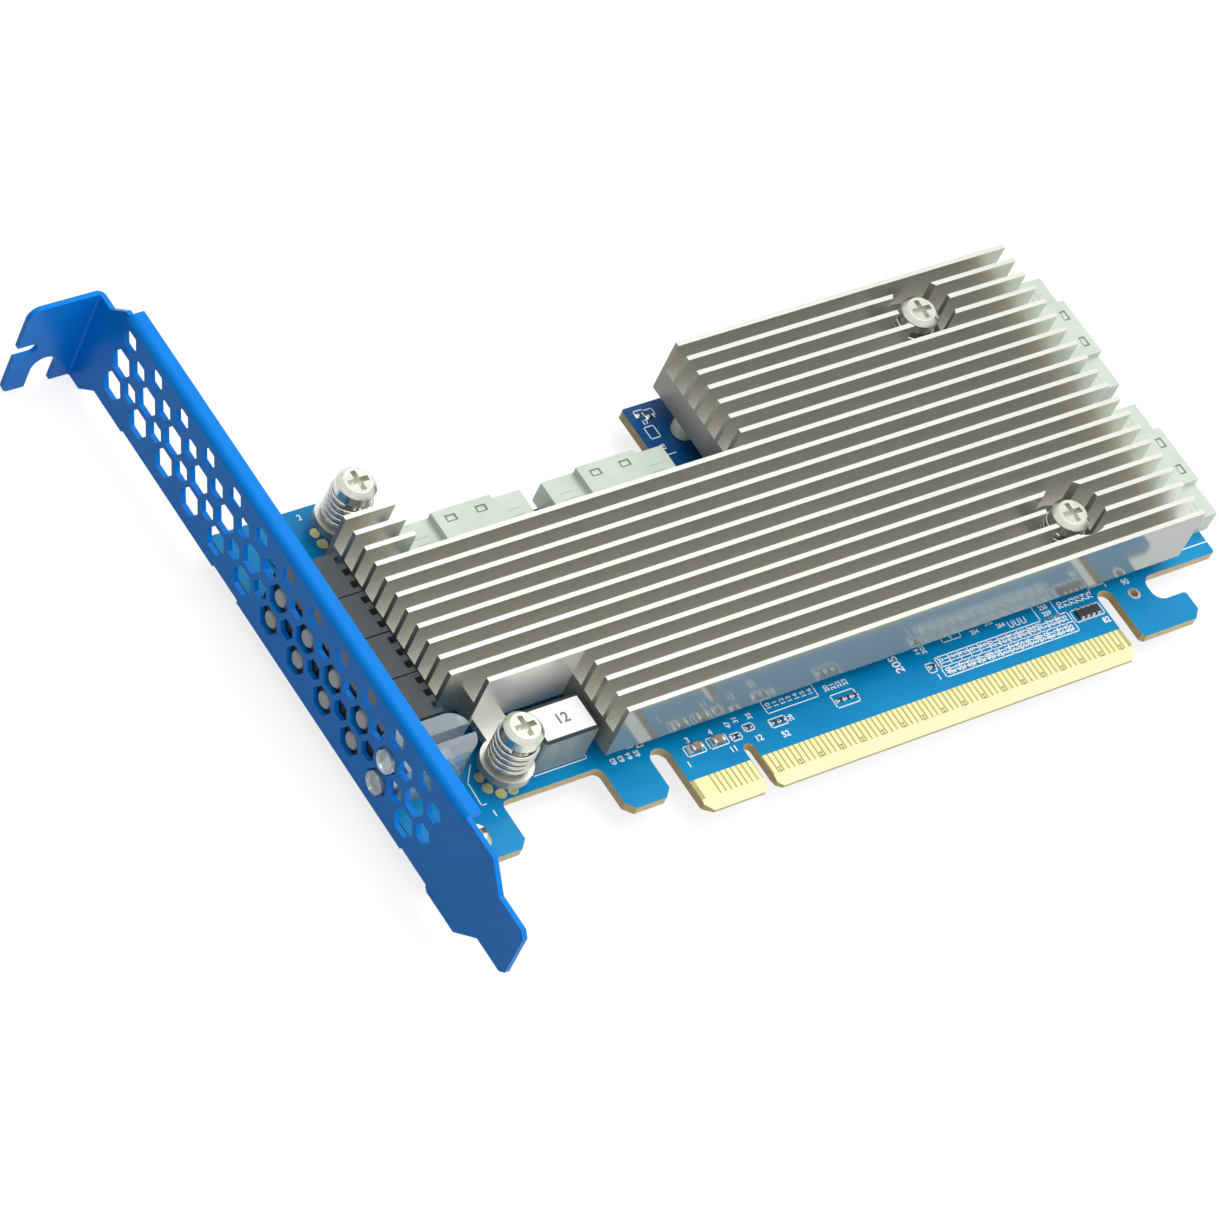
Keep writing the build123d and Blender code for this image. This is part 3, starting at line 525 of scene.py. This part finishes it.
numbers_above_table = (("204", 48.4, 13.2), ("212", 51.6, 13.9), ("264", 53.4, 12.8))
upper_outlines = ((19.7, 67.3, 0.85, 0.62), (21.4, 67.0, 0.85, 0.62), (19.7, 63.5, 0.9, 1.15))
capacitor_places = ((-8.4, 10.2), (-4.1, 10.2))
capacitor_box = (1.75, 0.92)


def print_frame(form, x, y, half_x, half_y):
    """Prints a rectangular outline round a place."""
    low = ((x - half_x) * mm, (y - half_y) * mm)
    high = ((x + half_x) * mm, (y + half_y) * mm)
    add_frame(form, low, high, line_width, board_face, board_face + ink_height)


def print_path(form, *places):
    """Prints a line through places."""
    points = [(x * mm, y * mm) for x, y in places]
    for start, end in zip(points, points[1:]):
        add_bar(form, start, end, line_width, board_face, board_face + ink_height)


def print_number(form, words, x, y, turn=0.0, height=digit_height):
    """Prints plain digits on a place."""
    add_number(form, words, x * mm, y * mm, height, turn, board_face, ink_height)


def print_row(form, first, count, x, y, pitch, height=small_digit_height):
    """Prints a row of rising numbers that read up the card."""
    for index in range(count):
        print_number(form, str(first + index), x + pitch * index, y, upright, height)


def print_below_wall(form):
    """Lines along the foot of the front wall, with the outlines and numbers of the small parts before it."""
    for x0, x1 in wall_foot_lines:
        print_path(form, (x0, 14.1), (x1, 14.1))
    print_path(form, (86.4, 14.8), (98.2, 14.8))
    print_path(form, (72.1, 13.2), (72.1, 13.85), (75.5, 13.85), (75.5, 13.2))
    for number, (x, y) in enumerate(capacitor_places):
        print_frame(form, x, y, *capacitor_box)
        print_number(form, str(number + 3), x - 0.2, y + 1.75)
    for words, x, y in part_numbers:
        print_number(form, words, x, y)
    for words, x, y in upright_part_numbers:
        print_number(form, words, x, y, upright, small_digit_height)
    for outline in part_outlines:
        print_frame(form, *outline)
    print_frame(form, 11.5, 12.9, 4.9, 1.2)
    print_row(form, 10, 7, 7.5, 12.9, 1.33)
    print_row(form, 20, 4, 18.4, 12.5, 1.2)
    print_number(form, "205", 32.2, 12.4, upright, large_digit_height)


def print_table(form):
    """Long table of numbers beside the contacts, two rows high."""
    left, right, low, middle, high = 39.3, 65.8, 7.6, 9.4, 11.2
    columns = 26
    print_frame(form, 52.3, middle, 13.5, 1.85)
    print_path(form, (38.8, middle), (right, middle))
    print_row(form, 10, columns, left + 0.5, 10.32, 1.0)
    print_row(form, 40, columns, left + 0.5, 8.48, 1.0)
    for index in range(0, columns, 2):
        print_path(form, (left + index, middle), (left + index, high))
        print_path(form, (left + 1.0 + index, low), (left + 1.0 + index, middle))


def print_above_table(form):
    """Boxes and numbers between the table and the front wall."""
    print_frame(form, 43.95, 13.8, 1.85, 0.58)
    print_number(form, "4", 43.9, 13.8, 0.0, table_digit_height)
    for words, x, y in numbers_above_table:
        print_number(form, words, x, y, 0.0, table_digit_height)
    for index in range(3):
        x = 55.2 + 1.25 * index
        print_path(form, (x - 0.38, 12.95), (x - 0.38, 11.9), (x + 0.38, 11.9), (x + 0.38, 12.95))
    print_path(form, (60.5, 11.25), (60.5, 14.1), (64.3, 14.1), (64.3, 11.3), (60.5, 11.25))
    for words, y in (("258", 13.3), ("259", 12.1)):
        print_number(form, words, 62.4, y, 0.0, 0.8 * mm)
    print_row(form, 70, 6, 65.6, 12.7, 1.2, 0.95 * mm)


def print_left_lobe(form):
    """Numbers and outlines beside the left lobe, the inductor's foot and the bracket's lugs."""
    print_row(form, 62, 4, -21.9, 12.7, 1.45)
    for index in range(4):
        print_frame(form, -21.4 + 1.67 * index, 15.2 - 0.4 * index, 0.75, 0.42)
    print_path(form, (-35.3, 15.6), (-35.3, 14.65), (-25.5, 14.65), (-25.5, 15.6))
    print_path(form, (-43.4, 19.7), (-45.5, 17.2), (-45.7, 13.0), (-44.9, 13.0))
    print_number(form, "1", -44.5, 11.1)
    print_number(form, "2", -44.0, 67.4)


def print_upper_right(form):
    """Outlines and numbers on the board's upper right, past the heat sink, where the mask carries painted
    shade.
    """
    for outline in upper_outlines:
        print_frame(form, *outline)
    print_path(form, (18.4, 58.9), (21.2, 58.9))
    print_number(form, "17", 19.7, 65.5, 0.0, small_digit_height)
    print_number(form, "18", 19.8, 60.4, upright, small_digit_height)


def make_board_ink():
    """White printing on the component side."""
    form = bmesh.new()
    print_below_wall(form)
    print_table(form)
    print_above_table(form)
    print_left_lobe(form)
    print_upper_right(form)
    finish_piece("board_printing", form, board_ink)


small_places = (
    (-21.4, 15.2), (-19.7, 14.8), (-18.0, 14.4), (-16.4, 14.0), (-0.9, 9.9), (1.9, 10.6), (6.6, 9.9),
    (7.9, 9.9), (19.2, 9.8), (20.6, 9.8), (22.0, 9.8), (37.6, 10.0), (19.6, 66.9), (21.1, 66.2),
)


def add_array_pads(form):
    """Adds the resistor array's pads, four along each side, and the metal that climbs its body from them."""
    pads = 4
    pad_half, pad_reach, pad_rise = 0.3 * mm, 0.5 * mm, 0.12 * mm
    wrap_half, wrap_lift = 0.13 * mm, 0.02 * mm
    pitch = (array_high.x - array_low.x) / pads
    for index in range(pads):
        for side, edge in ((-1, array_low.y), (1, array_high.y)):
            x = array_low.x + pitch * (index + 0.5)
            outer = edge + side * pad_reach
            add_block(form, (x - pad_half, min(edge, outer), board_face),
                      (x + pad_half, max(edge, outer), board_face + pad_rise))
            add_block(form, (x - pad_half, edge - wrap_half, board_face + wrap_lift),
                      (x + pad_half, edge + wrap_half, array_high.z + wrap_lift))


def make_solder():
    """Solder fillets at the ends of the small parts and the resistor array's pads."""
    form = bmesh.new()
    resistor_size, capacitor_size = (1.05, 0.55, 0.16), (2.0, 1.25, 0.34)
    inner_share, outer_share = 0.38, 0.45
    reach, side_margin, foot_height = 0.28, 0.05, 0.04
    sizes = [(x, y, *resistor_size) for x, y in small_places]
    sizes += [(x, y, *capacitor_size) for x, y in capacitor_places]
    for x, y, length, width, rise in sizes:
        half = width / 2 + side_margin
        for side in (-1, 1):
            near = x + side * length * inner_share
            far = x + side * (length * 0.5 + reach)
            corners = add_block(form, (min(near, far) * mm, (y - half) * mm, board_face),
                                (max(near, far) * mm, (y + half) * mm, board_face + rise * mm))
            outer = [corner for corner in corners
                     if (corner.co.x - x * mm) * side > length * outer_share * mm
                     and corner.co.z > board_face + skin]
            bmesh.ops.translate(form, verts=outer, vec=(0, 0, -(rise - foot_height) * mm))
    add_array_pads(form)
    finish_piece("solder_fillets", form, tin)


def circle_edges(made):
    """Edges of a circle that was just made, once each and always in the same order."""
    return list(dict.fromkeys(edge for corner in made["verts"] for edge in corner.link_edges))


def new_corners(made):
    """Corners among what a bmesh step made."""
    return [corner for corner in made["geom"] if isinstance(corner, bmesh.types.BMVert)]


def make_lone_pad():
    """Plated rings of the lone hole near the hook, one on each side of the board."""
    form = bmesh.new()
    x, y = 79.3 * mm, 10.4 * mm
    inner, outer = 0.66 * mm, 1.1 * mm
    for bottom, top in ((board_face, board_face + pad_height), (board_back - pad_height, board_back)):
        made = bmesh.ops.create_circle(form, cap_ends=False, segments=32, radius=inner,
                                       matrix=Matrix.Translation((x, y, bottom)))
        ring = bmesh.ops.extrude_edge_only(form, edges=circle_edges(made))
        bmesh.ops.scale(form, verts=new_corners(ring), vec=(outer / inner, outer / inner, 1),
                        space=Matrix.Translation((-x, -y, -bottom)))
        faces = [face for face in ring["geom"] if isinstance(face, bmesh.types.BMFace)]
        raised = bmesh.ops.extrude_face_region(form, geom=faces)
        bmesh.ops.translate(form, verts=new_corners(raised), vec=(0, 0, top - bottom))
    finish_piece("lone_hole_ring", form, tin)


def make_pad_marks():
    """Small grey gaps at the lower ends of every fourth pair of long contacts."""
    form = bmesh.new()
    first, last, step = 2.5 * mm, contact_high.x - 1.0 * mm, 4.0 * mm
    reach, end_offset = 0.30 * mm, 0.36 * mm
    end_width, stem_width = 0.14 * mm, 0.26 * mm
    bottom, top = contact_high.z, contact_high.z + skin
    y = contact_low.y + 0.42 * mm
    count = int((last - first) / step) + 1
    for index in range(count):
        x = first + step * index
        for end in (y - end_offset, y + end_offset):
            add_bar(form, (x - reach, end), (x + reach, end), end_width, bottom, top)
        add_bar(form, (x, y - reach), (x, y + reach), stem_width, bottom, top)
    finish_piece("contact_end_marks", form, mark_grey)


make_board_ink()
make_solder()
make_lone_pad()
make_pad_marks()

# Bracket and its screws

plate = eased_copy("bracket", "bracket_plate", enamel, 0.14 * mm)
# The eased edges take the brighter blue, a painted highlight.
plate.data.materials.append(enamel_edge_highlight)
plate.modifiers["eased_edges"].material = 1
eased_copy("bracket_screws", "bracket_fixing_screws", screw_metal, 0.12 * mm)

# Heat sink, screws and springs

eased_copy("heat_sink", "finned_heat_sink", fin_metal, 0.09 * mm)
eased_copy("spring_screws", "spring_screw_set", screw_metal, 0.16 * mm, 3)
eased_copy("standoffs", "standoff_barrels", standoff_metal, 0.15 * mm)

screw_places = ((-40.7, 16.3), (-40.7, 63.0), (67.5, 20.6), (67.5, 62.8))
wire_radius = 0.36 * mm
coil_radius = 3.12 * mm
coil_turns = 4.6


def make_springs():
    """Round-wire coil springs under the screws' heads."""
    form = bmesh.new()
    low = spring_low.z + wire_radius
    high = spring_high.z - wire_radius
    steps_per_turn = 36
    steps = round(coil_turns * steps_per_turn)
    for x, y in screw_places:
        centre = Vector((x * mm, y * mm, low))
        section = Matrix.Translation(centre + Vector((coil_radius, 0, 0))) @ Matrix.Rotation(pi / 2, 4, "X")
        made = bmesh.ops.create_circle(form, cap_ends=False, segments=12, radius=wire_radius, matrix=section)
        ring = circle_edges(made)
        bmesh.ops.spin(form, geom=ring, cent=centre, axis=up, dvec=(0, 0, (high - low) / steps),
                       angle=coil_turns * 2 * pi, steps=steps, use_merge=False, use_duplicate=False)
    ends = [edge for edge in form.edges if edge.is_boundary]
    bmesh.ops.holes_fill(form, edges=ends, sides=12)
    piece = finish_piece("coil_springs", form, spring_metal, True)
    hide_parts("springs")


def make_screw_rings():
    """Scalloped plated rings on the board round the standoffs."""
    form = bmesh.new()
    petals, ring_radius, petal_radius = 8, 2.7 * mm, 0.92 * mm
    for x, y in screw_places:
        for index in range(petals):
            angle = 2 * pi * (index + 0.5) / petals
            add_disc(form, x * mm + ring_radius * cos(angle), y * mm + ring_radius * sin(angle),
                     board_face, board_face + 0.12 * mm, petal_radius)
    ease(finish_piece("screw_rings", form, gold), 0.05 * mm)


make_springs()
make_screw_rings()

# Chips under the heat sink

dress("controller_base", chip_green)
dress("controller_lid", lid_metal)
dress("thermal_pad", pad_rubber)
dress("memory_chips", black_plastic)
dress("regulators", black_plastic)
dress("flash_chip", black_plastic)
eased_copy("crystal", "crystal_can", can_metal, 0.25 * mm, 3)

# Indicator blocks and light pipe

for index in range(1, 5):
    eased_copy(f"led_housing_{index}", f"indicator_housing_{index}", slate_plastic, 0.15 * mm)
    eased_copy(f"led_lenses_{index}", f"indicator_lenses_{index}", lens_grey, 0.45 * mm, 4)
eased_copy("light_pipe", "clear_light_pipe", clear_plastic, 0.25 * mm, 3)
dress("pipe_lamps", lamp_white)

# Inductor

eased_copy("power_inductor", "inductor_body", ferrite, 0.22 * mm, 3)
dress("inductor_terminals", tin)
dress("inductor_label", label_film)


def make_label_number():
    """Plain number on the inductor's label."""
    form = bmesh.new()
    low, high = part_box("inductor_label")
    middle = (low + high) / 2
    add_number(form, "12", middle.x, middle.y, 1.7 * mm, 0.0, high.z, ink_height)
    finish_piece("inductor_number", form, label_ink)


make_label_number()

# Cable connectors

upward_connectors = (1, 2)
shell_bottom = shell_low.z
shell_top = shell_high.z
window_spacing = 5.55 * mm
tab_sheet = 0.2 * mm


def add_plate(form, index, near, far, place, half, bottom, top):
    """Adds a block to a connector by its distances behind the front and from the connector's middle."""
    low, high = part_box(f"cable_shell_{index}")
    middle = (low + high) / 2
    if index in upward_connectors:
        add_block(form, (middle.x + place - half, high.y - far, bottom),
                  (middle.x + place + half, high.y - near, top))
    else:
        add_block(form, (high.x - far, middle.y + place - half, bottom),
                  (high.x - near, middle.y + place + half, top))


def make_shell_tabs(index):
    """Spring tabs in the windows of one connector's shell."""
    form = bmesh.new()
    near, far, half, drop = 1.42 * mm, 2.22 * mm, 0.68 * mm, 0.1 * mm
    top = shell_top - drop
    for side in (-1, 1):
        add_plate(form, index, near, far, side * window_spacing / 2, half, top - tab_sheet, top)
    ease(finish_piece(f"shell_tabs_{index}", form, shell_metal), 0.04 * mm)


def make_window_depths(index):
    """Painted shade under the spring tabs: dark plates which close the windows."""
    form = bmesh.new()
    near, far, half, drop = 1.15 * mm, 2.45 * mm, 1.00 * mm, 0.2 * mm
    top = shell_top - drop
    for side in (-1, 1):
        add_plate(form, index, near, far, side * window_spacing / 2, half, top - tab_sheet, top)
    finish_piece(f"window_painted_shade_{index}", form, seam_and_window_shade)


def make_shell_seams(index):
    """Two fine seams on each low shoulder of the shell."""
    form = bmesh.new()
    near, gap, width, half = 2.9 * mm, 1.2 * mm, 0.07 * mm, 1.3 * mm
    shoulder_middle, shoulder_top = 8.5 * mm, shell_bottom + 4.3 * mm
    for side in (-1, 1):
        for start in (near, near + gap):
            add_plate(form, index, start, start + width, side * shoulder_middle, half,
                      shoulder_top - skin, shoulder_top + skin)
    finish_piece(f"shell_seams_{index}", form, seam_and_window_shade)


def make_blade_contacts(index):
    """Gold contacts on both faces of the core's blade."""
    form = bmesh.new()
    pitch, count, half = 0.6 * mm, 30, 0.15 * mm
    near, far, plating = 1.9 * mm, 5.8 * mm, 0.05 * mm
    blade_low, blade_high = shell_bottom + 1.55 * mm, shell_bottom + 2.75 * mm
    for number in range(count):
        place = pitch * (number - (count - 1) / 2)
        for face in (blade_low - plating, blade_high):
            add_plate(form, index, near, far, place, half, face, face + plating)
    finish_piece(f"connector_contacts_{index}", form, gold)


for index in range(1, 5):
    eased_copy(f"cable_shell_{index}", f"connector_shell_{index}", shell_metal, 0.12 * mm)
    eased_copy(f"cable_core_{index}", f"connector_core_{index}", black_plastic, 0.08 * mm)
    make_shell_tabs(index)
    make_window_depths(index)
    make_shell_seams(index)
    make_blade_contacts(index)

# Small parts

eased_copy("capacitor_bodies", "capacitor_blocks", tan_ceramic, 0.06 * mm)
eased_copy("capacitor_ends", "capacitor_end_caps", tin, 0.06 * mm)
eased_copy("resistor_bodies", "resistor_blocks", dark_ceramic, 0.03 * mm, 1)
eased_copy("resistor_ends", "resistor_end_caps", tin, 0.03 * mm, 1)
eased_copy("resistor_array_bodies", "resistor_array_block", dark_ceramic, 0.04 * mm, 1)
eased_copy("resistor_array_ends", "resistor_array_end_blocks", dark_ceramic, 0.04 * mm, 1)

# Floor, light and camera

floor_gap = 0.2 * mm
floor_half = 6.0
floor_grey = (0.30, 0.30, 0.30)
floor_glow = 0.78
# Way in which light from the bright side travels, from the right, the contacts' side and above
bright_side = Vector((-0.48, 0.50, -0.76)).normalized()
dark_side_reach = -0.3
dark_side_level = 0.03
bright_side_level = 1.33
middle_of_card = (0.015, 0.04, 0.0)
lamp_place = (0.28, 0.10, 1.20)
lamp_size = 0.9
lamp_power = 6.0


def seen_rays(nodes, links):
    """One for the rays that see a pale background: the camera's, reflected and transmitted ones."""
    path = nodes.new("ShaderNodeLightPath")
    seen = path.outputs["Is Camera Ray"]
    for ray in ("Is Glossy Ray", "Is Transmission Ray"):
        seen = combine(nodes, links, "MAXIMUM", seen, path.outputs[ray])
    return seen


def make_floor():
    """Pale floor, which the camera and reflections see as white and which keeps the card's shadow."""
    form = bmesh.new()
    floor_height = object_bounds()[0][2] - floor_gap
    bmesh.ops.create_grid(form, x_segments=1, y_segments=1, size=floor_half,
                          matrix=Matrix.Translation((0, 0, floor_height)))
    mesh = bpy.data.meshes.new("floor")
    form.to_mesh(mesh)
    form.free()
    material, nodes, links, principled = shader("pale_floor")
    principled.inputs["Base Color"].default_value = (*floor_grey, 1)
    principled.inputs["Roughness"].default_value = 0.9
    principled.inputs["Emission Color"].default_value = (1, 1, 1, 1)
    glow = nodes.new("ShaderNodeMath")
    glow.operation = "MULTIPLY"
    links.new(seen_rays(nodes, links), glow.inputs[0])
    glow.inputs[1].default_value = floor_glow
    links.new(glow.outputs["Value"], principled.inputs["Emission Strength"])
    mesh.materials.append(material)
    floor = bpy.data.objects.new("floor", mesh)
    bpy.context.scene.collection.objects.link(floor)


def make_world():
    """Ambient light, brighter on one side, whose background the camera and reflections see as white."""
    world = bpy.data.worlds.new("studio")
    world.use_nodes = True
    nodes, links = world.node_tree.nodes, world.node_tree.links
    background = nodes["Background"]
    background.inputs["Color"].default_value = (1, 1, 1, 1)
    geometry = nodes.new("ShaderNodeNewGeometry")
    toward = nodes.new("ShaderNodeVectorMath")
    toward.operation = "DOT_PRODUCT"
    toward.inputs[1].default_value = bright_side
    links.new(geometry.outputs["Incoming"], toward.inputs[0])
    level = nodes.new("ShaderNodeMapRange")
    level.inputs["From Min"].default_value = dark_side_reach
    level.inputs["To Min"].default_value = dark_side_level
    level.inputs["To Max"].default_value = bright_side_level
    links.new(toward.outputs["Value"], level.inputs["Value"])
    strength = nodes.new("ShaderNodeMix")
    links.new(seen_rays(nodes, links), strength.inputs["Factor"])
    links.new(level.outputs["Result"], strength.inputs["A"])
    strength.inputs["B"].default_value = 1.0
    links.new(strength.outputs["Result"], background.inputs["Strength"])
    bpy.context.scene.world = world


def make_lamp(name, place, target, size, power):
    """Soft square lamp aimed at a place."""
    light = bpy.data.lights.new(name, "AREA")
    light.size = size
    light.energy = power
    lamp = bpy.data.objects.new(name, light)
    lamp.location = place
    lamp.rotation_euler = (Vector(target) - Vector(place)).to_track_quat("-Z", "Y").to_euler()
    bpy.context.scene.collection.objects.link(lamp)


def make_camera():
    """Camera at the photograph's place, from the solved directions of its right and up."""
    sensor = 36.0
    picture = 1219.0
    focal_pixels = 5832.0
    place = (-0.4919, -0.2997, 0.6347)
    right = Vector((0.7866, -0.5266, 0.3224)).normalized()
    above = Vector((0.2604, 0.7564, 0.6000))
    back = right.cross(above).normalized()
    above = back.cross(right)
    turn = Matrix((right, above, back)).transposed().to_4x4()
    data = bpy.data.cameras.new("photo_camera")
    data.sensor_width = sensor
    data.lens = sensor * focal_pixels / picture
    camera = bpy.data.objects.new("photo_camera", data)
    camera.matrix_world = Matrix.Translation(place) @ turn
    bpy.context.scene.collection.objects.link(camera)
    bpy.context.scene.camera = camera


make_floor()
make_world()
make_lamp("top_softbox", lamp_place, middle_of_card, lamp_size, lamp_power)
make_camera()
bpy.context.scene.view_settings.view_transform = "Standard"
